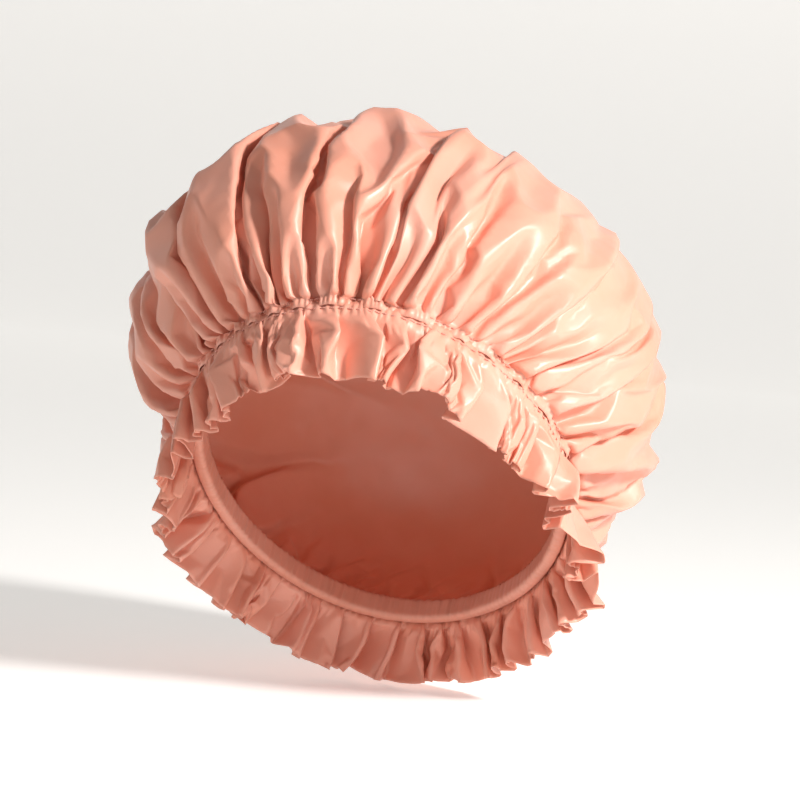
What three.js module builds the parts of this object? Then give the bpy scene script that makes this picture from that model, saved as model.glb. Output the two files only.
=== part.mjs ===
// A bouffant shower cap as it sits on a head: a gathered film crown and a pleated film frill, both sewn
// to a ring of elastic that is wrapped in a folded strip of film.
// Millimetres, +Z up as worn, forehead towards -Y, origin at the middle of the head opening.
import * as THREE from 'three';
import { mergeVertices } from 'three/addons/utils/BufferGeometryUtils.js';

// Head opening, measured to the middle of the elastic
const BAND_HALF_WIDTH = 78;
const BAND_HALF_LENGTH = 105;
const BAND_TILT = THREE.MathUtils.degToRad(41);

// Sheet and thread sizes, and the gap between pieces that lie on each other
const FILM_THICKNESS = 0.8;
const WRAP_THICKNESS = 0.6;
const ELASTIC_WIDTH = 8;
const ELASTIC_THICKNESS = 1;
const ELASTIC_LAP = 16;
const WRAP_SLIT = 2;
const SEAM_THREAD = 0.6;
const JOIN_THREAD = 0.5;
const CLEARANCE = 0.3;

// Crown: its height over the band, and how far the pull points of its curve lie outside the band
const CROWN_HEIGHT = 130;
const SHOULDER_HEIGHT = 80;
const SIDE_PULL = 85;
const FRONT_PULL = 47;
const BACK_PULL = 106;
const TOP_PULL_SIDE = -45;
const TOP_PULL_LENGTH = -30;
const TOP_SHIFT = -4;
const GATHERS = 36;
const GATHER_DEPTH = 5.5;
const GATHER_PEAK = 0.14;
const GATHER_END_FRONT = 0.92;
const GATHER_END_BACK = 0.55;

// Frill: free width below the band, its swing from the band's axis towards straight down, and its flat pleats
const FRILL_WIDTH = 26;
const FRILL_SWING = THREE.MathUtils.degToRad(36);
const PLEATS = 36;
const PLEAT_DEPTH = 4.5;

// Facets
const GATHER_COLUMNS = 2 * GATHERS;
const PLEAT_COLUMNS = 4 * PLEATS;
const RING_COLUMNS = 72;
const CROWN_STEPS = 7;
const FRILL_STEPS = 2;
const LAP_STEPS = 4;
const THREAD_SIDES = 5;
const TACKS = 5;
const STEPS_PER_TACK = 8;
const NUDGE = 1e-4;

// Layers of the band, as distances outwards from the elastic's middle line
const ELASTIC_FACE = ELASTIC_THICKNESS / 2;
const LAP_SHIFT = ELASTIC_THICKNESS + CLEARANCE;
const WRAP_INNER = ELASTIC_FACE + LAP_SHIFT + CLEARANCE;
const WRAP_OUTER = ELASTIC_FACE + CLEARANCE + JOIN_THREAD + CLEARANCE;
const WRAP_HALF_HEIGHT = ELASTIC_WIDTH / 2 + CLEARANCE + WRAP_THICKNESS;
const FILM_SEAT = WRAP_OUTER + WRAP_THICKNESS + CLEARANCE + FILM_THICKNESS / 2;
const THREAD_SEAT = FILM_SEAT + FILM_THICKNESS / 2 + CLEARANCE + SEAM_THREAD / 2;
const SEAM_HEIGHT = WRAP_HALF_HEIGHT / 2;
const FRILL_NECK = WRAP_HALF_HEIGHT + CLEARANCE + FILM_THICKNESS;

const film = new THREE.MeshStandardMaterial({ color: 0xeea995, roughness: 0.42, metalness: 0 });
const wrapFilm = new THREE.MeshStandardMaterial({ color: 0xe69c88, roughness: 0.48, metalness: 0 });
const elastic = new THREE.MeshStandardMaterial({ color: 0xf3ece4, roughness: 0.85, metalness: 0 });
const thread = new THREE.MeshStandardMaterial({ color: 0xe8a08e, roughness: 0.7, metalness: 0 });

// A point beside the elastic's middle line: angle 0 is the forehead, a quarter turn the wearer's left ear.
function besideBand(angle, outwards, height) {
  const across = (BAND_HALF_WIDTH + outwards) * Math.sin(angle);
  const along = -(BAND_HALF_LENGTH + outwards) * Math.cos(angle);
  return new THREE.Vector3(across, along, height);
}

function turns(count) {
  return Array.from({ length: count }, (_, i) => (2 * Math.PI * i) / count);
}

// Skins a row of like sections. A closed loft runs back to its first section, an open one gets flat ends.
// From the corner number turnAt on, each facet pair is split along its other diagonal.
function loft(sections, closed, turnAt = Infinity) {
  const size = sections[0].length;
  const positions = sections.flat().flatMap((p) => [p.x, p.y, p.z]);
  const faces = [];
  const spans = closed ? sections.length : sections.length - 1;
  for (let i = 0; i < spans; i++) {
    const here = i * size;
    const next = ((i + 1) % sections.length) * size;
    for (let k = 0; k < size; k++) {
      const up = (k + 1) % size;
      if (k < turnAt) faces.push([here + k, next + k, next + up], [here + k, next + up, here + up]);
      else faces.push([here + k, next + k, here + up], [next + k, next + up, here + up]);
    }
  }
  const last = (sections.length - 1) * size;
  for (let k = 1; !closed && k < size - 1; k++) {
    faces.push([0, k, k + 1], [last, last + k + 1, last + k]);
  }
  const loose = new THREE.BufferGeometry();
  loose.setAttribute('position', new THREE.Float32BufferAttribute(positions, 3));
  loose.setIndex(faces.flat());
  const joined = mergeVertices(loose, 1e-4);
  const corners = Array.from(joined.index.array);
  const kept = [];
  for (let i = 0; i < corners.length; i += 3) {
    const [a, b, c] = corners.slice(i, i + 3);
    if (a !== b && b !== c && c !== a) kept.push(a, b, c);
  }
  joined.setIndex(kept);
  joined.computeVertexNormals();
  return joined;
}

// A sheet: surface(angle, share) is its smooth middle and lift(angle, share, column) the height of its folds.
// Both walls are split along the same diagonals, so the sheet keeps its thickness where it twists.
function sheetGeometry(surface, lift, columns, shares) {
  const sections = turns(columns).map((angle, column) => {
    const faces = shares.map((share) => {
      const middle = surface(angle, share);
      const round = surface(angle + NUDGE, share).sub(surface(angle - NUDGE, share));
      const along = surface(angle, share + NUDGE).sub(surface(angle, share - NUDGE));
      const out = round.cross(along).normalize();
      if (out.lengthSq() === 0) out.set(0, 0, 1);
      const fold = lift(angle, share, column);
      const half = FILM_THICKNESS / 2;
      return [
        middle.clone().addScaledVector(out, fold + half),
        middle.clone().addScaledVector(out, fold - half),
      ];
    });
    return [...faces.map((f) => f[0]), ...faces.map((f) => f[1]).reverse()];
  });
  return loft(sections, true, shares.length);
}

// Crown: share -1 to 0 is the flat tab sewn to the wrap, 0 to 1 the curve from the band to the top.
function crownSurface(angle, share) {
  if (share < 0) {
    return besideBand(angle, FILM_SEAT, THREE.MathUtils.lerp(WRAP_HALF_HEIGHT, CLEARANCE, -share));
  }
  const t = Math.min(share, 1);
  const bezier = (a, b, c, d) =>
    (1 - t) ** 3 * a + 3 * (1 - t) ** 2 * t * b + 3 * (1 - t) * t * t * c + t ** 3 * d;
  const width = BAND_HALF_WIDTH + FILM_SEAT;
  const length = BAND_HALF_LENGTH + FILM_SEAT;
  const frontness = (1 + Math.cos(angle)) / 2;
  const pull = THREE.MathUtils.lerp(BACK_PULL, FRONT_PULL, frontness);
  const top = WRAP_HALF_HEIGHT + CROWN_HEIGHT;
  const across = bezier(width, width + SIDE_PULL, width + TOP_PULL_SIDE, 0);
  const along = bezier(length, length + pull, length + TOP_PULL_LENGTH, 0);
  const height = bezier(WRAP_HALF_HEIGHT, WRAP_HALF_HEIGHT + SHOULDER_HEIGHT, top, top);
  return new THREE.Vector3(across * Math.sin(angle), TOP_SHIFT * t * t - along * Math.cos(angle), height);
}

// Gathers stand up just over the seam and run out towards the top, furthest up over the forehead.
// Their strength varies round the head.
function crownLift(angle, share, column) {
  const frontness = (1 + Math.cos(angle)) / 2;
  const end = THREE.MathUtils.lerp(GATHER_END_BACK, GATHER_END_FRONT, frontness);
  if (share <= 0 || share >= end) return 0;
  const rise = Math.min(share / GATHER_PEAK, 1);
  const fade = 1 - THREE.MathUtils.smoothstep(share, GATHER_PEAK, end);
  const strength = 1 + 0.25 * Math.cos(5 * angle) + 0.2 * Math.cos(9 * angle);
  return (column % 2 ? 1 : -1) * GATHER_DEPTH * rise * fade * strength;
}

function crownGeometry() {
  const climb = Array.from({ length: CROWN_STEPS + 1 }, (_, i) => i / CROWN_STEPS);
  const shares = [-1, ...climb];
  return sheetGeometry(crownSurface, crownLift, GATHER_COLUMNS, shares);
}

// Frill: share -1 to 0 is the tab sewn to the wrap, 0 to 1 runs down to the free edge.
// It hangs from the tilted band, so it leans inwards over the forehead and outwards over the nape.
function frillSurface(angle, share) {
  if (share < 0) {
    return besideBand(angle, FILM_SEAT, -THREE.MathUtils.lerp(FRILL_NECK, CLEARANCE, -share));
  }
  const lean = -FRILL_SWING * Math.cos(angle);
  const outwards = FILM_SEAT + FRILL_WIDTH * Math.sin(lean) * share;
  const drop = FRILL_NECK + FRILL_WIDTH * Math.cos(lean) * share;
  return besideBand(angle, outwards, -drop);
}

// Flat pleats: two columns out, two columns in, deepest at the free edge.
function frillLift(angle, share, column) {
  if (share <= 0) return 0;
  return (column % 4 < 2 ? 1 : -1) * PLEAT_DEPTH * Math.sqrt(share);
}

function frillGeometry() {
  const fall = Array.from({ length: FRILL_STEPS + 1 }, (_, i) => i / FRILL_STEPS);
  return sheetGeometry(frillSurface, frillLift, PLEAT_COLUMNS, [-1, ...fall]);
}

// The wrap is folded round the elastic, and its two long edges leave a slit behind the seams.
function wrapGeometry() {
  const inside = WRAP_HALF_HEIGHT - WRAP_THICKNESS;
  const back = -WRAP_INNER - WRAP_THICKNESS;
  const front = WRAP_OUTER + WRAP_THICKNESS;
  const lip = WRAP_SLIT / 2;
  const outline = [
    [front, lip],
    [front, WRAP_HALF_HEIGHT],
    [back, WRAP_HALF_HEIGHT],
    [back, -WRAP_HALF_HEIGHT],
    [front, -WRAP_HALF_HEIGHT],
    [front, -lip],
    [WRAP_OUTER, -lip],
    [WRAP_OUTER, -inside],
    [-WRAP_INNER, -inside],
    [-WRAP_INNER, inside],
    [WRAP_OUTER, inside],
    [WRAP_OUTER, lip],
  ];
  const section = (angle) => outline.map(([outwards, height]) => besideBand(angle, outwards, height));
  return loft(turns(RING_COLUMNS).map(section), true);
}

// The elastic is one strip whose end steps inwards and laps over its start at the nape.
function elasticGeometry() {
  const napeRadius = BAND_HALF_WIDTH ** 2 / BAND_HALF_LENGTH;
  const lapTurn = (ELASTIC_LAP / BAND_HALF_WIDTH) % Math.PI;
  const pitch = (2 * Math.PI) / RING_COLUMNS;
  const stepTurn = Math.max(pitch, (2 * LAP_SHIFT) / napeRadius);
  const start = Math.PI - lapTurn / 2;
  const around = Array.from({ length: RING_COLUMNS }, (_, i) => (i * (2 * Math.PI - stepTurn)) / RING_COLUMNS);
  const lapped = Array.from({ length: LAP_STEPS + 1 }, (_, i) => 2 * Math.PI + (i * lapTurn) / LAP_STEPS);
  const half = ELASTIC_WIDTH / 2;
  const sections = [...around, 2 * Math.PI - stepTurn, ...lapped].map((turn) => {
    const shift = turn < 2 * Math.PI - stepTurn / 2 ? 0 : -LAP_SHIFT;
    const corners = [
      [ELASTIC_FACE, -half],
      [ELASTIC_FACE, half],
      [-ELASTIC_FACE, half],
      [-ELASTIC_FACE, -half],
    ];
    return corners.map(([outwards, height]) => besideBand(start + turn, outwards + shift, height));
  });
  return loft(sections, false);
}

// A round thread along a path of [angle, outwards, height] points beside the band.
function threadGeometry(path, diameter, closed) {
  const points = path.map(([angle, outwards, height]) => besideBand(angle, outwards, height));
  const sections = points.map((point, i) => {
    const before = points[closed ? (i + points.length - 1) % points.length : Math.max(i - 1, 0)];
    const after = points[closed ? (i + 1) % points.length : Math.min(i + 1, points.length - 1)];
    const forward = after.clone().sub(before).normalize();
    const outwards = besideBand(path[i][0], 1, 0).sub(besideBand(path[i][0], 0, 0)).normalize();
    const up = outwards.clone().cross(forward).normalize();
    return turns(THREAD_SIDES).map((a) =>
      point
        .clone()
        .addScaledVector(outwards, (diameter / 2) * Math.cos(a))
        .addScaledVector(up, (diameter / 2) * Math.sin(a))
    );
  });
  return loft(sections, closed);
}

function seamGeometry(height) {
  return threadGeometry(turns(RING_COLUMNS).map((a) => [a, THREAD_SEAT, height]), SEAM_THREAD, true);
}

// Zigzag tacking that holds the lapped ends of the elastic together.
function joinGeometry() {
  const steps = TACKS * STEPS_PER_TACK;
  const seat = ELASTIC_FACE + CLEARANCE + JOIN_THREAD / 2;
  const reach = ELASTIC_WIDTH / 2 - JOIN_THREAD;
  const path = Array.from({ length: steps + 1 }, (_, i) => {
    const along = i / steps - 0.5;
    const angle = Math.PI + (along * (ELASTIC_LAP - 2 * JOIN_THREAD)) / BAND_HALF_WIDTH;
    return [angle, seat, reach * Math.sin(2 * Math.PI * TACKS * along)];
  });
  return threadGeometry(path, JOIN_THREAD, false);
}

function piece(name, geometry, material) {
  const mesh = new THREE.Mesh(geometry, material);
  mesh.name = name;
  return mesh;
}

const worn = new THREE.Group();
worn.rotation.x = -BAND_TILT;
worn.add(
  piece('crown', crownGeometry(), film),
  piece('frill', frillGeometry(), film),
  piece('elastic_wrap', wrapGeometry(), wrapFilm),
  piece('elastic_band', elasticGeometry(), elastic),
  piece('crown_seam_thread', seamGeometry(SEAM_HEIGHT), thread),
  piece('frill_seam_thread', seamGeometry(-SEAM_HEIGHT), thread),
  piece('elastic_join_thread', joinGeometry(), thread)
);

const cap = new THREE.Group();
cap.add(worn);
export default cap;
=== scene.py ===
import math

import bpy
import numpy as np
from mathutils import Matrix, Vector
from mathutils.bvhtree import BVHTree
from mathutils.geometry import delaunay_2d_cdt


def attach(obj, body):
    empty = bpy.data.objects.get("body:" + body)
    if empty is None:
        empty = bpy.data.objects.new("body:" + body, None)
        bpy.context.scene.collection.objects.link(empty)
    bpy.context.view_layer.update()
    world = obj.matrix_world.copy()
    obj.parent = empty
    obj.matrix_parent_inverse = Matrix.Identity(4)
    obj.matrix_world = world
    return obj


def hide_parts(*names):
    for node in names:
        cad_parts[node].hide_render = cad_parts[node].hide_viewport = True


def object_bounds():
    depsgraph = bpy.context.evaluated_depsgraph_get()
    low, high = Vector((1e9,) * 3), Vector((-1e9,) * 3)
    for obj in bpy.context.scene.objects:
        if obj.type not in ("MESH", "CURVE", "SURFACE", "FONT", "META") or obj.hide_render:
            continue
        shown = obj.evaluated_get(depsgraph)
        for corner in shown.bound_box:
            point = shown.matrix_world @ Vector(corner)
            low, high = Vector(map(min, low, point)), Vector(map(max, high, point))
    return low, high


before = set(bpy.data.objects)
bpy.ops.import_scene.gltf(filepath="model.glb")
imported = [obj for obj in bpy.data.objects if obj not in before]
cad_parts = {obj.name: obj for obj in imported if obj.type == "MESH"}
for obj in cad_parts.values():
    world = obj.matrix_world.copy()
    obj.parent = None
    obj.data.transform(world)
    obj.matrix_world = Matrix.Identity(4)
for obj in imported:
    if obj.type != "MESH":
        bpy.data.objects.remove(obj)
cad_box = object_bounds()

# Sizes in metres, as in the solids
BAND_HALF_WIDTH = 0.078
BAND_HALF_LENGTH = 0.105
BAND_TILT = math.radians(41)
FILM_SEAT = 0.0029
WRAP_HALF_HEIGHT = 0.0049
WRAP_FRONT = 0.0022
WRAP_BACK = 0.0027
CROWN_HEIGHT = 0.130
SHOULDER_HEIGHT = 0.080
SIDE_PULL = 0.085
FRONT_PULL = 0.047
BACK_PULL = 0.106
TOP_PULL_SIDE = -0.045
TOP_PULL_LENGTH = -0.030
TOP_SHIFT = -0.004
FRILL_WIDTH = 0.026
FRILL_SWING = math.radians(36)
FRILL_NECK = 0.0060
WRAP_SLIT = 0.002
SEAM_HEIGHT = WRAP_HALF_HEIGHT / 2
STITCH_RISE = 0.0006
STITCH_SEAT = FILM_SEAT + STITCH_RISE

# Flat sizes of the film before it was sewn, and the thickness that it shows
CROWN_RADIUS = 0.240
FRILL_LENGTH = 1.300
WRAP_LENGTH = 0.680
FILM_THICKNESS = 0.00022

# Sewn edges: the crown's edge laps over the frill's, and both pucker
SEAM_TAB = 0.005
TAB_LAP = 0.0013
TAB_LIFT = 0.0003
TAB_RIPPLE = 0.0001
SEAM_PUCKER = 0.0008
CROWN_PUCKERS = 170
FRILL_PUCKERS = 150

# How the crown's edge is shared out along the band, and how far behind the form's top the disc's middle lies
GATHER_DRIFT = 0.4
GATHER_MIDDLE = -0.06
MIDDLE_SHIFT = 0.09

# Small gathers of the crown, as distance from the film's edge and depth, then wider folds, then the back's
SMALL_GATHERS = 62
GATHER_DEPTHS = [
    (0, 0.00005),
    (0.5 * SEAM_TAB, 0.0001),
    (SEAM_TAB, 0.0012),
    (0.012, 0.0040),
    (0.03, 0.0032),
    (0.09, 0),
]
WIDE_FOLDS = 27
WIDE_FOLD_DEPTH = 0.0050
WIDE_FOLD_MIDDLE = 0.045
WIDE_FOLD_REACH = 0.035
BACK_FOLDS = 13
BACK_FOLD_DEPTH = 0.0070
BACK_FOLD_MIDDLE = 0.095
BACK_FOLD_REACH = 0.05

# Long folds at the crown's front: degrees from the middle and half width, then height and reach from the
# band in metres
LONG_FOLD_RISE = 0.025
LONG_FOLDS = [
    (-64, 6, 0.010, 0.080),
    (-55, 4, -0.008, 0.085),
    (-46, 5, 0.012, 0.100),
    (-39, 4, -0.009, 0.105),
    (-33, 4, 0.014, 0.125),
    (-26, 4, -0.010, 0.130),
    (-19, 4, 0.017, 0.150),
    (-11, 5, -0.013, 0.150),
    (-3, 4, 0.018, 0.140),
    (6, 4, -0.024, 0.110),
    (14, 4, 0.018, 0.110),
    (22, 4, -0.010, 0.070),
    (29, 4, 0.011, 0.070),
    (38, 6, -0.006, 0.060),
    (50, 12, 0.006, 0.110),
    (80, 14, 0.005, 0.120),
]

# Pleats of the frill. A pleat's line at the free edge gives parts of its strip, of its width along the band
# and of its depth.
FRILL_PLEATS = 52
PLEAT_DEPTH = 0.0050
PLEAT_DEPTHS = (0.6, 1.3)
PLEAT_UNEVENNESS = 0.4
PLEAT_OPENING = 0.010
PLEAT_SLANT = 0.35
PLEAT_SLANTS = 15
TURNED_PLEATS = 0.12
PLEAT_PATH = np.array([(0.0, 0.0, 0.0), (0.5, 1.10, 1.0), (0.75, 0.52, -0.5), (1.0, 1.0, 0.0)])

# Puckers of the wrap: its front lies flat under the seams, and they rise from there towards the back
WRAP_PUCKER = 0.0011
WRAP_PUCKERS = 96
WRAP_FINE_PUCKERS = 173
WRAP_FLAT_FRONT = 0.0012
WRAP_PUCKER_RUN = 0.003
WRAP_SLANT = 0.0025
WRAP_SLANTS = 9
WRAP_ROUNDING = 0.0014

# Mesh steps
CROWN_FINE_STEP = 0.0035
CROWN_COARSE_STEP = 0.0050
CROWN_FINE_RIM = 0.13
ROW_STEP = 0.87
PLEAT_COLUMNS = 12
FRILL_ROWS = 11
WRAP_COLUMNS = 760
WRAP_STEP = 0.0011
NUDGE = 1e-4

# Simulation: the crown is puffed up for the first part of its frames and then falls slack
SIM_SCALE = 10.0
FORM_INSET = 0.0028
BACK_INSET = 0.0050
FORM_COLUMNS = 96
FORM_ROWS = 32
FORM_END = 0.98
WRAP_FORM_COLUMNS = 144
CROWN_FRAMES = 36
CROWN_PUFF = 45.0
CROWN_SLACK = -6.0
PUFFED_PART = 0.45
CROWN_BENDING = 5.0
CROWN_WEIGHT = 0.3
FRILL_FRAMES = 12
FRILL_BENDING = 20.0
FRILL_WEIGHT = 0.4
CREASE_LIKENESS = 0.14
CREASE_ROUNDS = 20

# Stage
LIGHT_AIM = Vector((0, 0.03, 0.03))
FLOOR_GAP = 0.001
FLOOR_HALF_WIDTH = 8.0
FLOOR_FRONT = -6.0
FLOOR_BACK = 2.4
WALL_BEND = 0.5
WALL_TOP = 3.0


# Places on the cap. Angle 0 is the middle of the front, and a quarter turn is the +X side.
def worn(points):
    """Tilts points from the band's plane to the pose of a worn cap."""
    c, s = math.cos(BAND_TILT), math.sin(BAND_TILT)
    x, y, z = points[..., 0], points[..., 1], points[..., 2]
    return np.stack([x, c * y + s * z, c * z - s * y], -1)


def beside_band(angle, outwards, height):
    across = (BAND_HALF_WIDTH + outwards) * np.sin(angle)
    along = -(BAND_HALF_LENGTH + outwards) * np.cos(angle)
    return np.stack([across, along, height + 0 * angle], -1)


def band_outwards(angle):
    out = np.stack([np.sin(angle) / BAND_HALF_WIDTH, -np.cos(angle) / BAND_HALF_LENGTH, 0 * angle], -1)
    return out / np.linalg.norm(out, axis=-1, keepdims=True)


def even_angles(share):
    """Angles that are evenly spaced along the band's own length."""
    turn = np.linspace(0, 2 * math.pi, 4001)
    step = np.diff(beside_band(turn, FILM_SEAT, 0.0), axis=0)
    length = np.concatenate([[0.0], np.cumsum(np.linalg.norm(step, axis=1))])
    return np.interp((share % 1.0) * length[-1], length, turn)


def crown_form(angle, share):
    """The crown's smooth form from the band (share 0) to its top (share 1)."""
    t = np.clip(share, 0, 1)

    def bezier(a, b, c, d):
        return (1 - t) ** 3 * a + 3 * (1 - t) ** 2 * t * b + 3 * (1 - t) * t * t * c + t**3 * d

    width = BAND_HALF_WIDTH + FILM_SEAT
    length = BAND_HALF_LENGTH + FILM_SEAT
    pull = BACK_PULL + (FRONT_PULL - BACK_PULL) * (1 + np.cos(angle)) / 2
    top = WRAP_HALF_HEIGHT + CROWN_HEIGHT
    across = bezier(width, width + SIDE_PULL, width + TOP_PULL_SIDE, 0)
    along = bezier(length, length + pull, length + TOP_PULL_LENGTH, 0)
    height = bezier(WRAP_HALF_HEIGHT, WRAP_HALF_HEIGHT + SHOULDER_HEIGHT, top, top)
    x = across * np.sin(angle)
    y = TOP_SHIFT * t * t - along * np.cos(angle)
    return np.stack([x, y, height + 0 * angle], -1)


def crown_outwards(angle, share):
    inner = np.clip(share, NUDGE, 1 - 50 * NUDGE)
    round_step = crown_form(angle + NUDGE, inner) - crown_form(angle - NUDGE, inner)
    climb_step = crown_form(angle, inner + NUDGE) - crown_form(angle, inner - NUDGE)
    out = np.cross(round_step, climb_step)
    return out / np.linalg.norm(out, axis=-1, keepdims=True)


def crown_shares(angle, climbed):
    """Shares of the form's curve at given parts of its length from band to top."""
    columns = np.linspace(0, 2 * math.pi, 121)
    steps = np.linspace(0, 1, 161)
    grid = crown_form(columns[:, None] + 0 * steps[None], steps[None] + 0 * columns[:, None])
    length = np.cumsum(np.linalg.norm(np.diff(grid, axis=1), axis=2), axis=1)
    length = np.concatenate([np.zeros((len(columns), 1)), length], axis=1)
    length /= length[:, -1:]
    last = len(columns) - 1
    column = np.clip((angle / (2 * math.pi) * last).round().astype(int), 0, last)
    share = np.empty_like(climbed)
    for i in range(len(columns)):
        here = column == i
        share[here] = np.interp(climbed[here], length[i], steps)
    return share


# Film sheets
def film_disc(radius, fine_step, coarse_step):
    """Rings of points from the edge to the middle, as (radius, share of a turn), and their triangles."""
    points, rings, triangles = [], [], []
    r = radius
    while r > 1.2 * coarse_step:
        step = fine_step + (coarse_step - fine_step) * min((radius - r) / CROWN_FINE_RIM, 1.0)
        count = max(6, round(2 * math.pi * r / step))
        turn = (np.arange(count) + 0.5 * (len(rings) % 2)) / count
        rings.append((len(points), turn))
        points += [(r, x) for x in turn]
        r -= ROW_STEP * step
    middle = len(points)
    points.append((0.0, 0.0))
    for (start_a, turn_a), (start_b, turn_b) in zip(rings[:-1], rings[1:]):
        a, b = 0, 0
        count_a, count_b = len(turn_a), len(turn_b)
        while a < count_a or b < count_b:
            next_a = turn_a[(a + 1) % count_a] + (a + 1) // count_a
            next_b = turn_b[(b + 1) % count_b] + (b + 1) // count_b
            corner_a, corner_b = start_a + a % count_a, start_b + b % count_b
            if b >= count_b or (a < count_a and next_a <= next_b):
                triangles.append((corner_a, start_a + (a + 1) % count_a, corner_b))
                a += 1
            else:
                triangles.append((corner_a, start_b + (b + 1) % count_b, corner_b))
                b += 1
    start, turn = rings[-1]
    for i in range(len(turn)):
        triangles.append((start + i, start + (i + 1) % len(turn), middle))
    return np.array(points), triangles


def irregular_wave(count, unevenness, seed):
    """A closed wave of folds with uneven widths and depths, as a function of the share of a turn."""
    draw = np.random.default_rng(seed)
    widths = 1 + unevenness * draw.uniform(-1, 1, count)
    edges = np.concatenate([[0.0], np.cumsum(widths)]) / widths.sum()
    depths = 1 + 0.6 * unevenness * draw.uniform(-1, 1, count + 1)
    depths[-1] = depths[0]

    def wave(share):
        x = share % 1.0
        phase = np.interp(x, edges, np.arange(count + 1))
        return np.interp(x, edges, depths) * np.sin(2 * math.pi * phase)

    return wave


def crumple(flat, cell, height, seed):
    """Heights of a creased sheet: flat facets between scattered points, like film that has been folded."""
    draw = np.random.default_rng(seed)
    low, high = flat.min(0) - 2 * cell, flat.max(0) + 2 * cell
    spots = [
        (x + cell * draw.uniform(-0.45, 0.45), y + cell * draw.uniform(-0.45, 0.45))
        for x in np.arange(low[0], high[0], cell)
        for y in np.arange(low[1], high[1], cell)
    ]
    levels = draw.uniform(-height, height, len(spots))
    faces = delaunay_2d_cdt([Vector(p) for p in spots], [], [], 0, 1e-9)[2]
    tree = BVHTree.FromPolygons([(p[0], p[1], z) for p, z in zip(spots, levels)], faces)
    down = Vector((0, 0, -1))
    return np.array([tree.ray_cast(Vector((x, y, 1.0)), down)[0].z for x, y in flat])


def new_mesh_object(name, points, faces):
    mesh = bpy.data.meshes.new(name)
    mesh.from_pydata([tuple(p) for p in points], [], faces)
    mesh.update()
    obj = bpy.data.objects.new(name, mesh)
    bpy.context.scene.collection.objects.link(obj)
    return obj


def settle_film(start, flat, faces, pinned, frames, pressure, bending, gravity, form=None):
    """Lets a film sheet find its folds: it keeps its flat size, is held at its pinned edge and may rest on
    a form."""
    scene = bpy.context.scene
    obj = new_mesh_object("settling_film", start * SIM_SCALE, faces)
    obj.shape_key_add(name="Basis")
    rest = obj.shape_key_add(name="flat")
    rest.data.foreach_set("co", (flat * SIM_SCALE).astype(np.float32).ravel())
    held = obj.vertex_groups.new(name="held")
    held.add([int(i) for i in np.nonzero(pinned)[0]], 1.0, "REPLACE")
    keep = obj.modifiers.new("keep_points", "WELD")
    keep.merge_threshold = 1e-7
    cloth = obj.modifiers.new("cloth", "CLOTH")
    film = cloth.settings
    film.rest_shape_key = rest
    film.vertex_group_mass = "held"
    film.quality = 6
    film.mass = 0.05
    film.tension_stiffness = 60
    film.compression_stiffness = 60
    film.shear_stiffness = 40
    film.bending_stiffness = bending
    film.tension_damping = 8
    film.compression_damping = 8
    film.shear_damping = 8
    film.bending_damping = 0.3
    film.air_damping = 1.5
    film.effector_weights.gravity = gravity
    film.use_pressure = True
    contact = cloth.collision_settings
    contact.use_collision = form is not None
    contact.collision_quality = 2
    contact.distance_min = 0.012
    contact.use_self_collision = True
    contact.self_distance_min = 0.012
    contact.self_friction = 4
    cloth.point_cache.frame_start = 1
    cloth.point_cache.frame_end = frames
    stand = None
    if form is not None:
        stand = new_mesh_object("settling_form", form[0] * SIM_SCALE, form[1])
        stand.modifiers.new("collision", "COLLISION")
        stand.collision.thickness_outer = 0.01
        stand.collision.thickness_inner = 0.05
        stand.collision.cloth_friction = 8
        stand.collision.damping = 0.3
    scene.gravity = (0, 0, -9.81)
    for number in range(1, frames + 1):
        film.uniform_pressure_force = pressure(number / frames)
        obj.keyframe_insert(data_path='modifiers["cloth"].settings.uniform_pressure_force', frame=number)
    for number in range(1, frames + 1):
        scene.frame_set(number)
    done = obj.evaluated_get(bpy.context.evaluated_depsgraph_get())
    mesh = done.to_mesh()
    points = np.empty(3 * len(mesh.vertices), np.float32)
    mesh.vertices.foreach_get("co", points)
    done.to_mesh_clear()
    for used in (obj, stand):
        if used is not None:
            used_mesh = used.data
            bpy.data.objects.remove(used)
            bpy.data.meshes.remove(used_mesh)
    scene.frame_set(1)
    return points.reshape(-1, 3).astype(float) / SIM_SCALE


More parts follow.
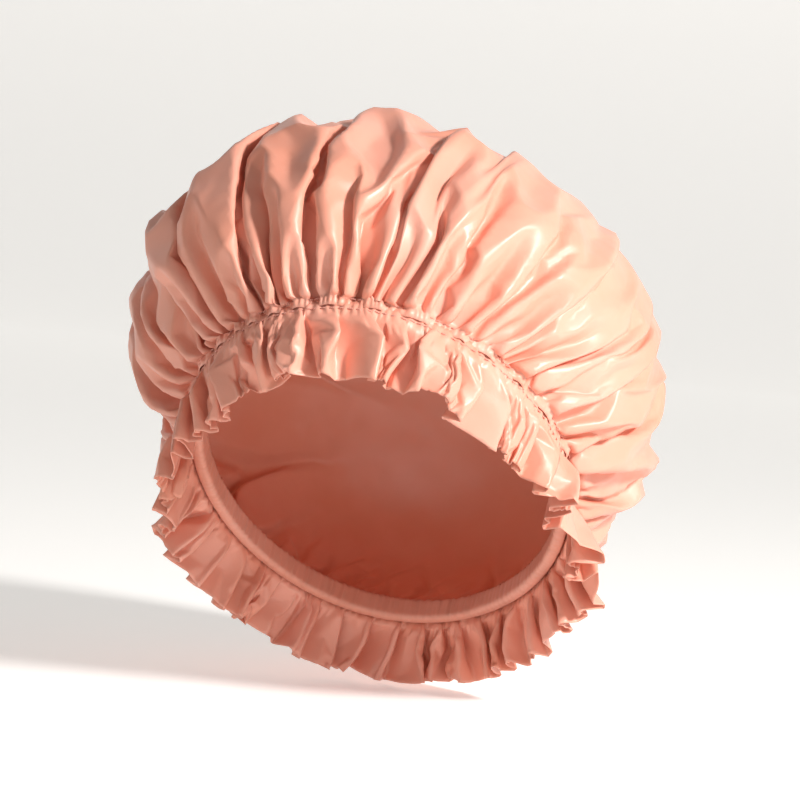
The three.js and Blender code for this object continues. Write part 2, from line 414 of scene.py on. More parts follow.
def finer_film(points, flat, faces, tab, hoop=0.0):
    """Splits each triangle in four and eases the new points, so that folds run without steps. For a strip
    sewn to a hoop, hoop is the strip's length."""
    corners = np.array(faces)
    count = len(points)
    sides = np.concatenate([corners[:, [0, 1]], corners[:, [1, 2]], corners[:, [2, 0]]])
    apart = np.concatenate([corners[:, 2], corners[:, 0], corners[:, 1]])
    sides, which = np.unique(np.sort(sides, axis=1), axis=0, return_inverse=True)
    which = which.ravel()
    uses = np.bincount(which, minlength=len(sides))
    across = np.zeros((len(sides), 3))
    for axis in range(3):
        across[:, axis] = np.bincount(which, points[apart, axis], len(sides))
    ends = points[sides[:, 0]] + points[sides[:, 1]]
    middle = np.where((uses == 2)[:, None], 0.375 * ends + 0.125 * across, 0.5 * ends)
    near = np.zeros((count, 3))
    degree = np.bincount(sides.ravel(), minlength=count)
    for axis in range(3):
        near[:, axis] = np.bincount(sides[:, 0], points[sides[:, 1], axis], count)
        near[:, axis] += np.bincount(sides[:, 1], points[sides[:, 0], axis], count)
    near /= degree[:, None]
    edge = np.zeros(count, bool)
    edge[sides[uses == 1].ravel()] = True
    eased = np.where((edge | tab)[:, None], points, 0.625 * points + 0.375 * near)
    held = tab[sides].all(1)
    middle = np.where(held[:, None], 0.5 * ends, middle)
    third = len(faces)
    a, b, c = count + which[:third], count + which[third : 2 * third], count + which[2 * third :]
    split = np.concatenate(
        [
            np.stack([corners[:, 0], a, c], 1),
            np.stack([corners[:, 1], b, a], 1),
            np.stack([corners[:, 2], c, b], 1),
            np.stack([a, b, c], 1),
        ]
    )
    halfway = 0.5 * (flat[sides[:, 0]] + flat[sides[:, 1]])
    if hoop:
        over = np.abs(flat[sides[:, 0], 0] - flat[sides[:, 1], 0]) > hoop / 2
        halfway[over, 0] = (halfway[over, 0] + hoop / 2) % hoop
    fine_points = np.concatenate([eased, middle])
    fine_flat = np.concatenate([flat, halfway])
    fine_tab = np.concatenate([tab, held])
    return fine_points, fine_flat, [tuple(f) for f in split.tolist()], fine_tab


def crisp_creases(points, faces, held, likeness, rounds):
    """Draws soft bends into flat facets with sharp creases between them, as thin film folds."""
    corners = np.array(faces)
    count = len(points)
    by_corner = [[] for _ in range(count)]
    for number, face in enumerate(faces):
        for corner in face:
            by_corner[corner].append(number)
    first, second = [], []
    for group in by_corner:
        for a in group:
            for b in group:
                if a != b:
                    first.append(a)
                    second.append(b)
    first, second = np.array(first), np.array(second)
    points = points.copy()
    free = ~held

    def normals_and_areas():
        a, b, c = (points[corners[:, i]] for i in range(3))
        normal = np.cross(b - a, c - a)
        area = np.linalg.norm(normal, axis=1)
        return normal / np.maximum(area, 1e-15)[:, None], area

    normal, area = normals_and_areas()
    for _ in range(rounds):
        gap = ((normal[first] - normal[second]) ** 2).sum(1)
        weight = area[second] * np.exp(-gap / (2 * likeness**2))
        blended = normal * area[:, None]
        for axis in range(3):
            blended[:, axis] += np.bincount(first, weight * normal[second, axis], len(faces))
        normal = blended / np.linalg.norm(blended, axis=1, keepdims=True)
    owner = corners.ravel()
    face_of = np.repeat(np.arange(len(faces)), 3)
    shared = np.maximum(np.bincount(owner, minlength=count), 1)
    for _ in range(rounds):
        middle = points[corners].mean(1)
        reach = ((middle[face_of] - points[owner]) * normal[face_of]).sum(1)
        for axis in range(3):
            move = np.bincount(owner, reach * normal[face_of, axis], count) / shared
            points[free, axis] += move[free]
    return points


def finish_film(name, points, faces, flat, material, hoop=0.0):
    """A film piece with its flat layout kept as a UV map, and its real thickness. A strip sewn to a hoop
    joins at the back, and its layout runs on over the join."""
    obj = new_mesh_object(name, points, faces)
    mesh = obj.data
    layout = mesh.uv_layers.new(name="flat")
    corners = np.array(faces)
    places = flat[corners][:, :, :2].copy()
    if hoop:
        places[:, :, 0] = (places[:, :, 0] + hoop / 2) % hoop
        over = np.ptp(places[:, :, 0], axis=1) > hoop / 2
        places[over, :, 0] += hoop * (places[over, :, 0] < hoop / 2)
    layout.data.foreach_set("uv", places.astype(np.float32).ravel())
    mesh.shade_smooth()
    mesh.materials.append(material)
    wall = obj.modifiers.new("thickness", "SOLIDIFY")
    wall.thickness = FILM_THICKNESS
    wall.offset = 0
    return obj


def puckered(points, tab, angle, part, wave):
    """Raises small puckers on a sewn edge: none at its two sides, most along its middle."""
    rise = SEAM_PUCKER * np.sin(math.pi * np.clip(part, 0, 1)) * (1 + wave) / 2
    return points + np.where(tab, rise, 0.0)[:, None] * worn(band_outwards(angle))


# Crown
def head_form():
    """The smooth form inside the crown. It is drawn in further at the back, where film spans it freely."""
    angles = np.linspace(0, 2 * math.pi, FORM_COLUMNS + 1)[:-1]
    inset = (FORM_INSET + (BACK_INSET - FORM_INSET) * (1 - np.cos(angles)) / 2)[:, None]
    rows = []
    for t in np.linspace(0, FORM_END, FORM_ROWS):
        share = t + 0 * angles
        rows.append(crown_form(angles, share) - inset * crown_outwards(angles, share))
    top = crown_form(np.zeros(1), np.ones(1)) - np.array([[0, 0, (FORM_INSET + BACK_INSET) / 2]])
    count = len(angles)
    faces = []
    for i in range(len(rows) - 1):
        for j in range(count):
            here, there = i * count, (i + 1) * count
            faces.append((here + j, here + (j + 1) % count, there + (j + 1) % count, there + j))
    last = (len(rows) - 1) * count
    faces += [(last + j, last + (j + 1) % count, len(rows) * count) for j in range(count)]
    return worn(np.concatenate(rows + [top])), faces


def gathered_share(turn):
    """Where the film's edge meets the band: more of it is drawn together at the front, towards -X."""
    return turn - GATHER_DRIFT * np.sin(2 * math.pi * (turn - GATHER_MIDDLE)) / (2 * math.pi)


def crown_start():
    """The crown's film in its first loose folds, its flat layout, its triangles and its sewn edge."""
    polar, faces = film_disc(CROWN_RADIUS, CROWN_FINE_STEP, CROWN_COARSE_STEP)
    radius, turn = polar[:, 0], polar[:, 1]
    climbed = CROWN_RADIUS - radius
    edge = even_angles(gathered_share(turn))
    # The disc's middle lies behind the form's top, where the way to the band is as long to front as to back
    part = np.clip((climbed - SEAM_TAB) / (CROWN_RADIUS - SEAM_TAB), 0, 1)
    across = (1 - part) * np.sin(edge)
    along = MIDDLE_SHIFT * part - (1 - part) * np.cos(edge)
    angle = np.arctan2(across, -along) % (2 * math.pi)
    share = crown_shares(angle, 1 - np.hypot(across, along))
    tab = climbed < SEAM_TAB
    seat_height = climbed * (WRAP_HALF_HEIGHT + TAB_LAP) / SEAM_TAB - TAB_LAP
    seat = beside_band(edge, FILM_SEAT + TAB_LIFT, seat_height)
    start = np.where(tab[:, None], seat, crown_form(angle, share))
    outwards = np.where(tab[:, None], band_outwards(edge), crown_outwards(angle, share))
    # Small gathers at the seam run into wider folds, and those into the long ones that reach for the top
    tight = np.interp(climbed, *zip(*GATHER_DEPTHS))
    wide = WIDE_FOLD_DEPTH * np.exp(-(((climbed - WIDE_FOLD_MIDDLE) / WIDE_FOLD_REACH) ** 2))
    behind = BACK_FOLD_DEPTH * (1 - np.cos(edge)) / 2
    behind *= np.exp(-(((climbed - BACK_FOLD_MIDDLE) / BACK_FOLD_REACH) ** 2))
    fold = tight * (irregular_wave(SMALL_GATHERS, unevenness=0.45, seed=3)(turn) + 1)
    fold += wide * irregular_wave(WIDE_FOLDS, unevenness=0.5, seed=4)(turn)
    fold += behind * irregular_wave(BACK_FOLDS, unevenness=0.5, seed=5)(turn)
    for middle, half_width, height, reach in LONG_FOLDS:
        away = (edge - math.radians(middle) + math.pi) % (2 * math.pi) - math.pi
        beside = np.degrees(away) / half_width
        rise = np.interp(climbed, [SEAM_TAB, LONG_FOLD_RISE, 0.6 * reach, reach], [0, 0.7, 1, 0])
        fold += height * rise * np.exp(-(beside**2))
    start = worn(start + outwards * fold[:, None])
    plan = np.stack([radius * np.sin(2 * math.pi * turn), -radius * np.cos(2 * math.pi * turn)], -1)
    creases = crumple(plan, cell=0.042, height=0.0050, seed=11)
    creases += crumple(plan, cell=0.017, height=0.0010, seed=12)
    flat = np.concatenate([plan, creases[:, None]], axis=1)
    return start, flat, faces, tab


def crown_film(material):
    start, flat, faces, tab = crown_start()

    def pressure(part):
        return CROWN_PUFF if part < PUFFED_PART else CROWN_SLACK

    points = settle_film(
        start,
        flat,
        faces,
        tab,
        frames=CROWN_FRAMES,
        pressure=pressure,
        bending=CROWN_BENDING,
        gravity=CROWN_WEIGHT,
        form=head_form(),
    )
    points, flat, faces, tab = finer_film(points, flat, faces, tab)
    points = crisp_creases(points, faces, tab, CREASE_LIKENESS, CREASE_ROUNDS)
    turn = np.arctan2(flat[:, 0], -flat[:, 1]) / (2 * math.pi) % 1.0
    part = (CROWN_RADIUS - np.hypot(flat[:, 0], flat[:, 1])) / SEAM_TAB
    wave = irregular_wave(CROWN_PUCKERS, unevenness=0.5, seed=6)(turn)
    points = puckered(points, tab, even_angles(gathered_share(turn)), part, wave)
    return finish_film("crown_film", points, faces, flat, material)


# Wrapped elastic
def wrap_form():
    """The outside of the wrapped elastic, which the frill's film must not pass through."""
    angles = np.linspace(0, 2 * math.pi, WRAP_FORM_COLUMNS + 1)[:-1]
    corners = [
        (WRAP_FRONT, -WRAP_HALF_HEIGHT),
        (WRAP_FRONT, WRAP_HALF_HEIGHT),
        (-WRAP_BACK, WRAP_HALF_HEIGHT),
        (-WRAP_BACK, -WRAP_HALF_HEIGHT),
    ]
    rings = [beside_band(angles, outwards, height) for outwards, height in corners]
    count, size = len(angles), len(corners)
    points = np.concatenate(rings)
    faces = []
    for i in range(size):
        for j in range(count):
            a, b = i * count, (i + 1) % size * count
            faces.append((a + j, a + (j + 1) % count, b + (j + 1) % count, b + j))
    return worn(points), faces


def rounded_path(corners, radius, step):
    """An open path with rounded corners, as points a step apart and the directions that face away."""
    dense = [np.array(corners[0])]
    for before, corner, after in zip(corners[:-2], corners[1:-1], corners[2:]):
        corner = np.array(corner)
        back = (np.array(before) - corner) / np.linalg.norm(np.array(before) - corner)
        on = (np.array(after) - corner) / np.linalg.norm(np.array(after) - corner)
        middle = corner + radius * (back + on)
        for turned in np.linspace(0, math.pi / 2, 9):
            dense.append(middle - radius * (on * math.cos(turned) + back * math.sin(turned)))
    dense.append(np.array(corners[-1]))
    dense = np.array(dense)
    length = np.concatenate([[0], np.cumsum(np.linalg.norm(np.diff(dense, axis=0), axis=1))])
    spots = np.linspace(0, length[-1], round(length[-1] / step) + 1)
    path = np.stack([np.interp(spots, length, dense[:, axis]) for axis in range(2)], -1)
    along = np.gradient(path, axis=0)
    along /= np.linalg.norm(along, axis=1, keepdims=True)
    return path, np.stack([along[:, 1], -along[:, 0]], -1)


def wrap_film(material):
    """The strip of film folded round the elastic: it puckers all along and closes behind the seams."""
    columns = WRAP_COLUMNS
    turn = np.arange(columns) / columns
    angle = even_angles(turn)
    corners = [
        (WRAP_FRONT, WRAP_SLIT / 2),
        (WRAP_FRONT, WRAP_HALF_HEIGHT),
        (-WRAP_BACK, WRAP_HALF_HEIGHT),
        (-WRAP_BACK, -WRAP_HALF_HEIGHT),
        (WRAP_FRONT, -WRAP_HALF_HEIGHT),
        (WRAP_FRONT, -WRAP_SLIT / 2),
    ]
    section, outs = rounded_path(corners, WRAP_ROUNDING, WRAP_STEP)
    rows = len(section)
    back = np.clip((WRAP_FLAT_FRONT - section[:, 0]) / WRAP_PUCKER_RUN, 0, 1)
    length = np.concatenate([[0], np.cumsum(np.linalg.norm(np.diff(section, axis=0), axis=1))])
    points = np.empty((columns, rows, 3))
    wide = irregular_wave(WRAP_PUCKERS, unevenness=0.5, seed=31)
    fine = irregular_wave(WRAP_FINE_PUCKERS, unevenness=0.5, seed=32)
    slant = irregular_wave(WRAP_SLANTS, unevenness=0.6, seed=33)
    for k in range(rows):
        lean = WRAP_SLANT * slant(turn) * (length[k] / length[-1] - 0.5)
        pucker = 0.55 * (1 - np.abs(wide(turn + lean))) + 0.3 * (1 - np.abs(fine(turn + 1.7 * lean)))
        lift = WRAP_PUCKER * back[k] * np.clip(pucker, -0.3, 1)
        outwards, height = (section[k, axis] + lift * outs[k, axis] for axis in range(2))
        points[:, k] = beside_band(angle, outwards, height)
    faces = []
    for i in range(columns):
        for k in range(rows - 1):
            here, there = i * rows + k, (i + 1) % columns * rows + k
            faces.append((here, there, there + 1, here + 1))
    flat = np.stack([np.repeat(turn * WRAP_LENGTH, rows), np.tile(length, columns)], -1)
    return finish_film("wrap_film", worn(points.reshape(-1, 3)), faces, flat, material, WRAP_LENGTH)


# Frill
def frill_form(angle, fallen):
    """The frill's smooth form: its sewn tab, and then its free width, hanging from the tilted band."""
    free = np.clip(fallen - SEAM_TAB, 0, 1)
    lean = -FRILL_SWING * np.cos(angle)
    tab = np.clip(fallen / SEAM_TAB, 0, 1) * (FRILL_NECK + TAB_LAP) - TAB_LAP
    return beside_band(angle, FILM_SEAT + free * np.sin(lean), -tab - free * np.cos(lean))


def frill_outwards(angle, fallen):
    lean = np.where(fallen > SEAM_TAB, -FRILL_SWING * np.cos(angle), 0.0)
    out = band_outwards(angle) * np.cos(lean)[:, None]
    out[:, 2] += np.sin(lean)
    return out


def frill_start():
    """The frill's strip in its pressed pleats, its flat layout, its triangles and its sewn edge."""
    draw = np.random.default_rng(21)
    widths = 1 + PLEAT_UNEVENNESS * draw.uniform(-1, 1, FRILL_PLEATS)
    edges = np.concatenate([[0.0], np.cumsum(widths)]) / widths.sum()
    depths = PLEAT_DEPTH * draw.uniform(*PLEAT_DEPTHS, FRILL_PLEATS)
    turned = draw.uniform(0, 1, FRILL_PLEATS) < TURNED_PLEATS
    fall = np.concatenate([[0, 0.5 * SEAM_TAB], np.linspace(SEAM_TAB, SEAM_TAB + FRILL_WIDTH, FRILL_ROWS)])
    columns, rows = FRILL_PLEATS * PLEAT_COLUMNS, len(fall)
    column = np.repeat(np.arange(columns), rows)
    pleat, part = column // PLEAT_COLUMNS, column % PLEAT_COLUMNS / PLEAT_COLUMNS
    fallen = np.tile(fall, columns)
    free = np.clip(fallen - SEAM_TAB, 0, 1)
    facing = np.where(turned[pleat], 1 - part, part)
    along = np.interp(facing, PLEAT_PATH[:, 0], PLEAT_PATH[:, 1])
    along = np.where(turned[pleat], 1 - along, along)
    opened = np.clip(0.25 + free / PLEAT_OPENING, 0, 1) * (fallen >= SEAM_TAB)
    along = part + opened * (along - part)
    depth = TAB_RIPPLE + opened * depths[pleat]
    turn = (edges[pleat] + part * np.diff(edges)[pleat]) % 1.0
    slant = free * PLEAT_SLANT * irregular_wave(PLEAT_SLANTS, unevenness=0.6, seed=24)(turn) / FRILL_LENGTH
    angle = even_angles(edges[pleat] + along * np.diff(edges)[pleat] + slant)
    out = frill_outwards(angle, fallen)
    lift = depth * np.interp(facing, PLEAT_PATH[:, 0], PLEAT_PATH[:, 2])
    start = frill_form(angle, fallen) + out * lift[:, None]
    plan = np.stack([turn * FRILL_LENGTH, -fallen], -1)
    creases = crumple(plan, cell=0.018, height=0.0010, seed=22) * opened
    creased = start + out * creases[:, None]
    faces = []
    for i in range(columns):
        for k in range(rows - 1):
            a, b = i * rows + k, (i + 1) % columns * rows + k
            if (i + k) % 2:
                faces += [(a, a + 1, b), (b, a + 1, b + 1)]
            else:
                faces += [(a, a + 1, b + 1), (a, b + 1, b)]
    return worn(start), worn(creased), plan, faces, fallen <= SEAM_TAB


def frill_film(material):
    start, rest, flat, faces, tab = frill_start()
    points = settle_film(
        start,
        rest,
        faces,
        tab,
        frames=FRILL_FRAMES,
        pressure=lambda part: 0.0,
        bending=FRILL_BENDING,
        gravity=FRILL_WEIGHT,
        form=wrap_form(),
    )
    points, flat, faces, tab = finer_film(points, flat, faces, tab, FRILL_LENGTH)
    points = crisp_creases(points, faces, tab, CREASE_LIKENESS, CREASE_ROUNDS)
    turn = flat[:, 0] / FRILL_LENGTH % 1.0
    wave = irregular_wave(FRILL_PUCKERS, unevenness=0.5, seed=25)(turn)
    points = puckered(points, tab, even_angles(turn), -flat[:, 1] / SEAM_TAB, wave)
    return finish_film("frill_film", points, faces, flat, material, FRILL_LENGTH)


# Stitches
def stitch_tree():
    """A row of arched stitches along the tilted band. Each is a short thread that dips into the film at both
    ends."""
    tree = bpy.data.node_groups.new("stitch_row", "GeometryNodeTree")
    sockets = {
        "Half width": ("NodeSocketFloat", BAND_HALF_WIDTH),
        "Half length": ("NodeSocketFloat", BAND_HALF_LENGTH),
        "Height": ("NodeSocketFloat", 0.0),
        "Tilt": ("NodeSocketFloat", BAND_TILT),
        "Stitch length": ("NodeSocketFloat", 0.003),
        "Stitch pitch": ("NodeSocketFloat", 0.0036),
        "Arch": ("NodeSocketFloat", 0.0007),
        "Thread": ("NodeSocketFloat", 0.0006),
        "Seed": ("NodeSocketInt", 0),
        "Material": ("NodeSocketMaterial", None),
    }
    for name, (kind, value) in sockets.items():
        socket = tree.interface.new_socket(name, in_out="INPUT", socket_type=kind)
        if value is not None:
            socket.default_value = value
    tree.interface.new_socket("Geometry", in_out="OUTPUT", socket_type="NodeSocketGeometry")
    nodes, links = tree.nodes, tree.links
    given = nodes.new("NodeGroupInput").outputs

    def math_node(kind, first, second):
        node = nodes.new("ShaderNodeMath")
        node.operation = kind
        for socket, value in zip(node.inputs, (first, second)):
            if isinstance(value, (int, float)):
                socket.default_value = value
            else:
                links.new(value, socket)
        return node.outputs[0]

    def vector(x, y, z):
        node = nodes.new("ShaderNodeCombineXYZ")
        for socket, value in zip(node.inputs, (x, y, z)):
            if isinstance(value, (int, float)):
                socket.default_value = value
            else:
                links.new(value, socket)
        return node.outputs[0]

    def vector_node(kind, first, second):
        node = nodes.new("ShaderNodeVectorMath")
        node.operation = kind
        links.new(first, node.inputs[0])
        links.new(second, node.inputs[1])
        return node.outputs[0]

    circle = nodes.new("GeometryNodeCurvePrimitiveCircle")
    circle.inputs["Resolution"].default_value = 360
    circle.inputs["Radius"].default_value = 1.0
    place = nodes.new("GeometryNodeInputPosition").outputs[0]
    band = nodes.new("GeometryNodeSetPosition")
    links.new(circle.outputs["Curve"], band.inputs["Geometry"])
    stretched = vector_node("MULTIPLY", place, vector(given["Half width"], given["Half length"], 1.0))
    links.new(vector_node("ADD", stretched, vector(0.0, 0.0, given["Height"])), band.inputs["Position"])
    spots = nodes.new("GeometryNodeCurveToPoints")
    spots.mode = "LENGTH"
    links.new(band.outputs["Geometry"], spots.inputs["Curve"])
    links.new(given["Stitch pitch"], spots.inputs["Length"])

    line = nodes.new("GeometryNodeCurveQuadraticBezier")
    line.inputs["Resolution"].default_value = 5
    half = math_node("MULTIPLY", given["Stitch length"], 0.5)
    sunk = math_node("MULTIPLY", given["Arch"], -0.5)
    links.new(vector(math_node("MULTIPLY", half, -1.0), sunk, 0.0), line.inputs["Start"])
    links.new(vector(0.0, given["Arch"], 0.0), line.inputs["Middle"])
    links.new(vector(half, sunk, 0.0), line.inputs["End"])
    round_thread = nodes.new("GeometryNodeCurvePrimitiveCircle")
    round_thread.inputs["Resolution"].default_value = 6
    links.new(math_node("MULTIPLY", given["Thread"], 0.5), round_thread.inputs["Radius"])
    stitch = nodes.new("GeometryNodeCurveToMesh")
    links.new(line.outputs["Curve"], stitch.inputs["Curve"])
    links.new(round_thread.outputs["Curve"], stitch.inputs["Profile Curve"])
    stitch.inputs["Fill Caps"].default_value = True

    along = nodes.new("FunctionNodeAlignRotationToVector")
    along.axis = "X"
    links.new(spots.outputs["Tangent"], along.inputs["Vector"])
    facing = nodes.new("FunctionNodeAlignRotationToVector")
    facing.axis = "Y"
    facing.pivot_axis = "X"
    links.new(along.outputs["Rotation"], facing.inputs["Rotation"])
    links.new(vector_node("MULTIPLY", place, vector(1.0, 1.0, 0.0)), facing.inputs["Vector"])
    sway = nodes.new("FunctionNodeRandomValue")
    sway.data_type = "FLOAT_VECTOR"
    sway.inputs["Min"].default_value = (-0.05, -0.05, -0.12)
    sway.inputs["Max"].default_value = (0.05, 0.05, 0.12)
    links.new(given["Seed"], sway.inputs["Seed"])
    turned = nodes.new("FunctionNodeRotateRotation")
    turned.rotation_space = "LOCAL"
    links.new(facing.outputs["Rotation"], turned.inputs["Rotation"])
    links.new(sway.outputs["Value"], turned.inputs["Rotate By"])
    size = nodes.new("FunctionNodeRandomValue")
    size.data_type = "FLOAT_VECTOR"
    size.inputs["Min"].default_value = (0.9, 0.9, 0.9)
    size.inputs["Max"].default_value = (1.06, 1.1, 1.1)
    links.new(given["Seed"], size.inputs["Seed"])
    row = nodes.new("GeometryNodeInstanceOnPoints")
    links.new(spots.outputs["Points"], row.inputs["Points"])
    links.new(stitch.outputs["Mesh"], row.inputs["Instance"])
    links.new(turned.outputs["Rotation"], row.inputs["Rotation"])
    links.new(size.outputs["Value"], row.inputs["Scale"])
    whole = nodes.new("GeometryNodeRealizeInstances")
    links.new(row.outputs["Instances"], whole.inputs["Geometry"])
    tilted = nodes.new("GeometryNodeTransform")
    links.new(whole.outputs["Geometry"], tilted.inputs["Geometry"])
    links.new(vector(math_node("MULTIPLY", given["Tilt"], -1.0), 0.0, 0.0), tilted.inputs["Rotation"])
    smooth = nodes.new("GeometryNodeSetShadeSmooth")
    links.new(tilted.outputs["Geometry"], smooth.inputs["Geometry"])
    dressed = nodes.new("GeometryNodeSetMaterial")
    links.new(smooth.outputs["Geometry"], dressed.inputs["Geometry"])
    links.new(given["Material"], dressed.inputs["Material"])
    result = nodes.new("NodeGroupOutput")
    links.new(dressed.outputs["Geometry"], result.inputs["Geometry"])
    return tree


def stitch_row(name, tree, values):
    """Runs the stitch tree with its inputs set by name, and keeps the result as a plain mesh."""
    obj = new_mesh_object(name + "_seed", [], [])
    modifier = obj.modifiers.new("stitches", "NODES")
    modifier.node_group = tree
    for item in tree.interface.items_tree:
        if item.in_out == "INPUT" and item.name in values:
            modifier[item.identifier] = values[item.name]
    done = obj.evaluated_get(bpy.context.evaluated_depsgraph_get())
    mesh = bpy.data.meshes.new_from_object(done)
    mesh.name = name
    obj.modifiers.remove(modifier)
    obj.data = mesh
    obj.name = name
    return obj


# Materials
def node_material(name):
    material = bpy.data.materials.new(name)
    material.use_nodes = True
    return material, material.node_tree.nodes, material.node_tree.links


def noise(nodes, links, coordinate, scale, detail, kind="FBM", roughness=0.5):
    texture = nodes.new("ShaderNodeTexNoise")
    texture.noise_type = kind
    texture.inputs["Scale"].default_value = scale
    texture.inputs["Detail"].default_value = detail
    texture.inputs["Roughness"].default_value = roughness
    links.new(coordinate, texture.inputs["Vector"])
    return texture.outputs["Fac"]


def colour_ramp(nodes, links, value, stops):
    ramp = nodes.new("ShaderNodeValToRGB")
    for _ in range(len(stops) - 2):
        ramp.color_ramp.elements.new(0.5)
    for element, (place, colour) in zip(ramp.color_ramp.elements, stops):
        element.position = place
        element.color = (*colour, 1)
    links.new(value, ramp.inputs["Fac"])
    return ramp.outputs["Color"]


def span(nodes, links, value, low, high):
    """Spreads the middle of a noise over a span of values."""
    spread = nodes.new("ShaderNodeMapRange")
    spread.inputs["From Min"].default_value = 0.3
    spread.inputs["From Max"].default_value = 0.7
    spread.inputs["To Min"].default_value = low
    spread.inputs["To Max"].default_value = high
    links.new(value, spread.inputs["Value"])
    return spread.outputs["Result"]


def bump(nodes, links, height, strength, distance, under=None):
    node = nodes.new("ShaderNodeBump")
    node.inputs["Strength"].default_value = strength
    node.inputs["Distance"].default_value = distance
    links.new(height, node.inputs["Height"])
    if under is not None:
        links.new(under, node.inputs["Normal"])
    return node.outputs["Normal"]


def film_material(name, pale, deep, roughness):
    """Thin satin film: two close pinks, uneven gloss, sharp handling creases and a fine embossed grain."""
    material, nodes, links = node_material(name)
    shader = nodes["Principled BSDF"]
    layout = nodes.new("ShaderNodeUVMap")
    layout.uv_map = "flat"
    place = layout.outputs["UV"]
    cloud = noise(nodes, links, place, scale=14, detail=4)
    links.new(colour_ramp(nodes, links, cloud, [(0.32, deep), (0.68, pale)]), shader.inputs["Base Color"])
    gloss = noise(nodes, links, place, scale=60, detail=3)
    links.new(span(nodes, links, gloss, roughness - 0.07, roughness + 0.07), shader.inputs["Roughness"])
    creases = noise(nodes, links, place, scale=34, detail=2.5, kind="RIDGED_MULTIFRACTAL", roughness=0.55)
    crinkles = noise(nodes, links, place, scale=75, detail=2.5, kind="RIDGED_MULTIFRACTAL", roughness=0.55)
    grain = noise(nodes, links, place, scale=1300, detail=2)
    creased = bump(nodes, links, creases, strength=0.8, distance=0.0024)
    crinkled = bump(nodes, links, crinkles, strength=0.8, distance=0.0009, under=creased)
    grained = bump(nodes, links, grain, strength=0.12, distance=0.00015, under=crinkled)
    links.new(grained, shader.inputs["Normal"])
    shader.inputs["Subsurface Weight"].default_value = 0.1
    shader.inputs["Subsurface Radius"].default_value = (1.0, 0.5, 0.4)
    shader.inputs["Subsurface Scale"].default_value = 0.0015
    shader.inputs["IOR"].default_value = 1.48
    return material


def thread_material():
    """Spun thread: a light and dark twist, with no shine."""
    material, nodes, links = node_material("pink_thread")
    shader = nodes["Principled BSDF"]
    place = nodes.new("ShaderNodeTexCoord").outputs["Object"]
    twist = nodes.new("ShaderNodeTexWave")
    twist.wave_type = "BANDS"
    twist.bands_direction = "DIAGONAL"
    twist.inputs["Scale"].default_value = 900
    twist.inputs["Distortion"].default_value = 2.0
    links.new(place, twist.inputs["Vector"])
    fibre = noise(nodes, links, place, scale=2600, detail=2)
    stops = [(0.1, (0.56, 0.20, 0.15)), (0.9, (0.80, 0.38, 0.30))]
    links.new(colour_ramp(nodes, links, twist.outputs["Fac"], stops), shader.inputs["Base Color"])
    links.new(span(nodes, links, fibre, low=0.6, high=0.85), shader.inputs["Roughness"])
    twisted = bump(nodes, links, twist.outputs["Fac"], strength=0.5, distance=0.0002)
    links.new(twisted, shader.inputs["Normal"])
    shader.inputs["Sheen Weight"].default_value = 0.2
    return material


def elastic_material():
    """Woven elastic: raised ribs of covered rubber with a looser weave between them."""
    material, nodes, links = node_material("white_elastic")
    shader = nodes["Principled BSDF"]
    place = nodes.new("ShaderNodeTexCoord").outputs["Object"]
    ribs = nodes.new("ShaderNodeTexWave")
    ribs.bands_direction = "Z"
    ribs.inputs["Scale"].default_value = 320
    ribs.inputs["Distortion"].default_value = 0.6
    links.new(place, ribs.inputs["Vector"])
    weave = noise(nodes, links, place, scale=1500, detail=2)
    stops = [(0.2, (0.62, 0.57, 0.52)), (0.8, (0.86, 0.83, 0.78))]
    links.new(colour_ramp(nodes, links, ribs.outputs["Fac"], stops), shader.inputs["Base Color"])
    links.new(span(nodes, links, weave, low=0.75, high=0.95), shader.inputs["Roughness"])
    ribbed = bump(nodes, links, ribs.outputs["Fac"], strength=0.6, distance=0.0003)
    woven = bump(nodes, links, weave, strength=0.3, distance=0.0001, under=ribbed)
    links.new(woven, shader.inputs["Normal"])
    return material


# The cap
pink_film = film_material("pink_film", pale=(0.86, 0.40, 0.305), deep=(0.79, 0.32, 0.22), roughness=0.40)
wrap_pink = film_material("wrap_pink_film", pale=(0.80, 0.36, 0.27), deep=(0.72, 0.29, 0.20), roughness=0.45)
pink_thread = thread_material()
white_elastic = elastic_material()

crown = crown_film(pink_film)
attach(crown, "root")
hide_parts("crown")

frill = frill_film(pink_film)
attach(frill, "root")
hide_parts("frill")

wrap = wrap_film(wrap_pink)
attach(wrap, "root")
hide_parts("elastic_wrap")

stitches = stitch_tree()
for name, node, side, seed in (
    ("crown_stitches", "crown_seam_thread", 1, 41),
    ("frill_stitches", "frill_seam_thread", -1, 42),
):
    seam = stitch_row(
        name,
        stitches,
        {
            "Half width": BAND_HALF_WIDTH + STITCH_SEAT,
            "Half length": BAND_HALF_LENGTH + STITCH_SEAT,
            "Height": side * SEAM_HEIGHT,
            "Seed": seed,
            "Material": pink_thread,
        },
    )
    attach(seam, "root")
    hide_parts(node)

for node, material in (("elastic_band", white_elastic), ("elastic_join_thread", pink_thread)):
    mesh = bpy.data.objects[node].data
    mesh.materials.clear()
    mesh.materials.append(material)


# Stage
def area_light(name, place, size, power, colour):
    lamp = bpy.data.lights.new(name, "AREA")
    lamp.shape = "DISK"
    lamp.size = size
    lamp.energy = power
    lamp.color = colour
    obj = bpy.data.objects.new(name, lamp)
    bpy.context.scene.collection.objects.link(obj)
    obj.location = place
    towards = LIGHT_AIM - Vector(place)
    obj.rotation_euler = towards.to_track_quat("-Z", "Y").to_euler()
    return obj


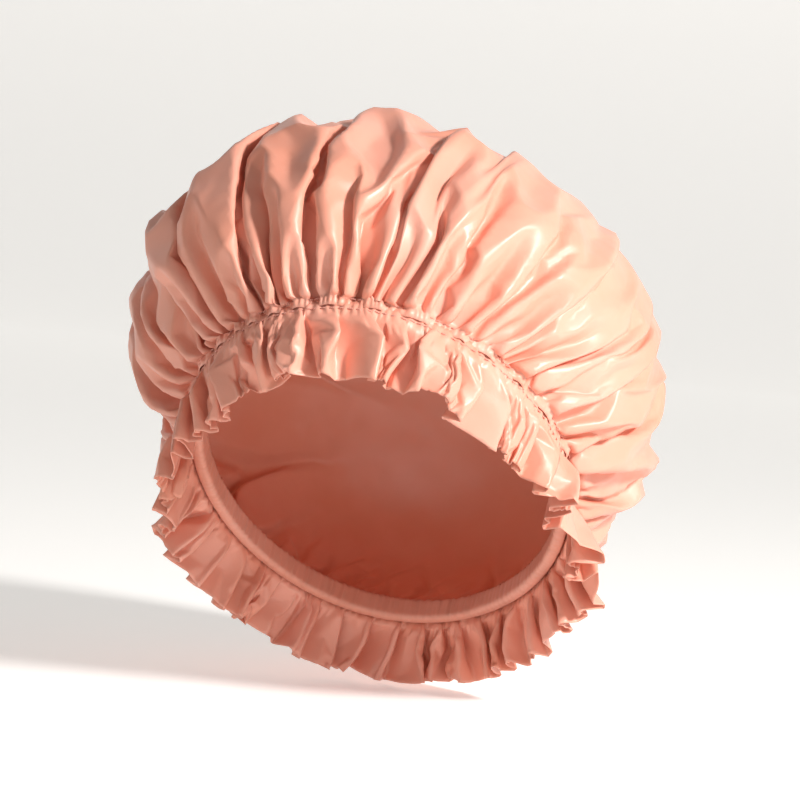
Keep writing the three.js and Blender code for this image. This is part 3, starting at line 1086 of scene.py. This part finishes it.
def studio():
    world = bpy.data.worlds.new("studio")
    bpy.context.scene.world = world
    world.use_nodes = True
    sky = world.node_tree.nodes["Background"]
    sky.inputs["Color"].default_value = (1.0, 0.98, 0.95, 1)
    sky.inputs["Strength"].default_value = 0.28
    area_light("key", place=(1.05, -0.62, 0.72), size=0.2, power=26, colour=(1.0, 0.975, 0.955))
    bpy.context.scene.view_settings.view_transform = "Standard"
    low = cad_box[0][2] - FLOOR_GAP
    side = [(FLOOR_FRONT, low)]
    for a in np.linspace(0, math.pi / 2, 13):
        side.append((FLOOR_BACK + WALL_BEND * math.sin(a), low + WALL_BEND - WALL_BEND * math.cos(a)))
    side.append((FLOOR_BACK + WALL_BEND, WALL_TOP))
    points = [(x, y, z) for x in (-FLOOR_HALF_WIDTH, FLOOR_HALF_WIDTH) for y, z in side]
    count = len(side)
    faces = [(i, count + i, count + i + 1, i + 1) for i in range(count - 1)]
    sweep = new_mesh_object("floor", points, faces)
    sweep.data.shade_smooth()
    paper, nodes, _ = node_material("floor_paper")
    white = nodes["Principled BSDF"].inputs
    white["Base Color"].default_value = (0.9, 0.89, 0.87, 1)
    white["Roughness"].default_value = 0.9
    white["Emission Color"].default_value = (1.0, 0.985, 0.96, 1)
    white["Emission Strength"].default_value = 0.35
    sweep.data.materials.append(paper)


def camera(azimuth, elevation, roll, distance, width, target):
    a, e, r = math.radians(azimuth), math.radians(elevation), math.radians(roll)
    back = Vector((math.sin(a) * math.cos(e), -math.cos(a) * math.cos(e), math.sin(e)))
    right = Vector((math.cos(a), math.sin(a), 0))
    up = back.cross(right)
    level = right * math.cos(r) - up * math.sin(r)
    upright = right * math.sin(r) + up * math.cos(r)
    data = bpy.data.cameras.new("camera")
    data.sensor_width = 36
    data.lens = 36 * distance / width
    obj = bpy.data.objects.new("camera", data)
    bpy.context.scene.collection.objects.link(obj)
    place = Matrix((level, upright, back)).transposed().to_4x4()
    place.translation = Vector(target) + back * distance
    obj.matrix_world = place
    bpy.context.scene.camera = obj


studio()
camera(azimuth=11, elevation=4, roll=-4.5, distance=1.6, width=0.34, target=(0, 0.03, 0.027))
